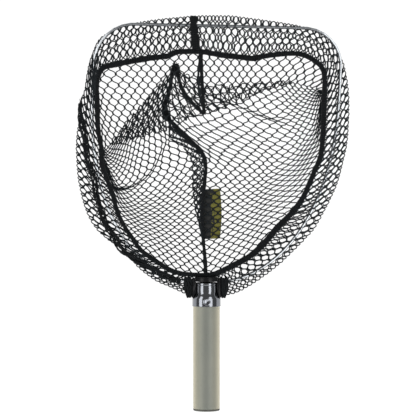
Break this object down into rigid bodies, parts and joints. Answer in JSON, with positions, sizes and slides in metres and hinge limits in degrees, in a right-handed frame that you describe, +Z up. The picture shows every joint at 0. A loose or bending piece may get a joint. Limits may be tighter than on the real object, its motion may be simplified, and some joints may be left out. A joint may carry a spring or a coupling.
{
  "type": "landing net",
  "caption": "Hand landing net lying flat: tube handle, chromed ferrule, screw-in yoke, bent wire hoop in a netting collar and a collapsed netting bag.",
  "frame": {"origin": "middle of the net's footprint, on the surface that it lies on", "axes": "+Y from the butt of the handle to the top of the hoop, +Z up out of the bag's mouth, +X to the right"},
  "size_m": [0.265, 0.3882, 0.028],
  "materials": {
    "tube": "satin anodised, beige grey",
    "plug": "moulded",
    "chrome": "polished",
    "brass": "turned",
    "washer": "matte",
    "steel": "threaded",
    "black": "moulded, smooth",
    "wire": "plated",
    "netting": "knotless nylon netting",
    "binding": "overlocked seam",
    "label": "woven label"
  },
  "bodies": {
    "handle": {"handle_tube": "tube", "handle_end_plug": "plug", "ferrule": "chrome", "threaded_insert": "brass"},
    "washer": {"lock_washer": "washer"},
    "head": {"head_stud": "steel", "yoke": "black", "hoop_wire": "wire", "net_sleeve_left": "netting", "net_sleeve_right": "netting", "seam_top": "binding", "hem_binding": "binding", "net_bag_left": "netting", "net_bag_right": "netting", "seam_bag": "binding", "side_roll": "netting", "gather_left": "netting", "gather_right": "netting", "label": "label"}
  },
  "joints": [
    {"name": "head_travel", "type": "slide", "parent": "handle", "child": "washer", "axis": [0, 1, 0], "range_m": [0, 0.0076]},
    {"name": "head_turn", "type": "hinge", "parent": "washer", "child": "head", "pos_m": [-0.00939, -0.06946, 0.014], "axis": [0, 1, 0], "range_deg": [0, 1800]}
  ],
  "couplings": [
    {"joint": "head_travel", "follows": "head_turn", "m_per_rad": 0.00023873}
  ]
}
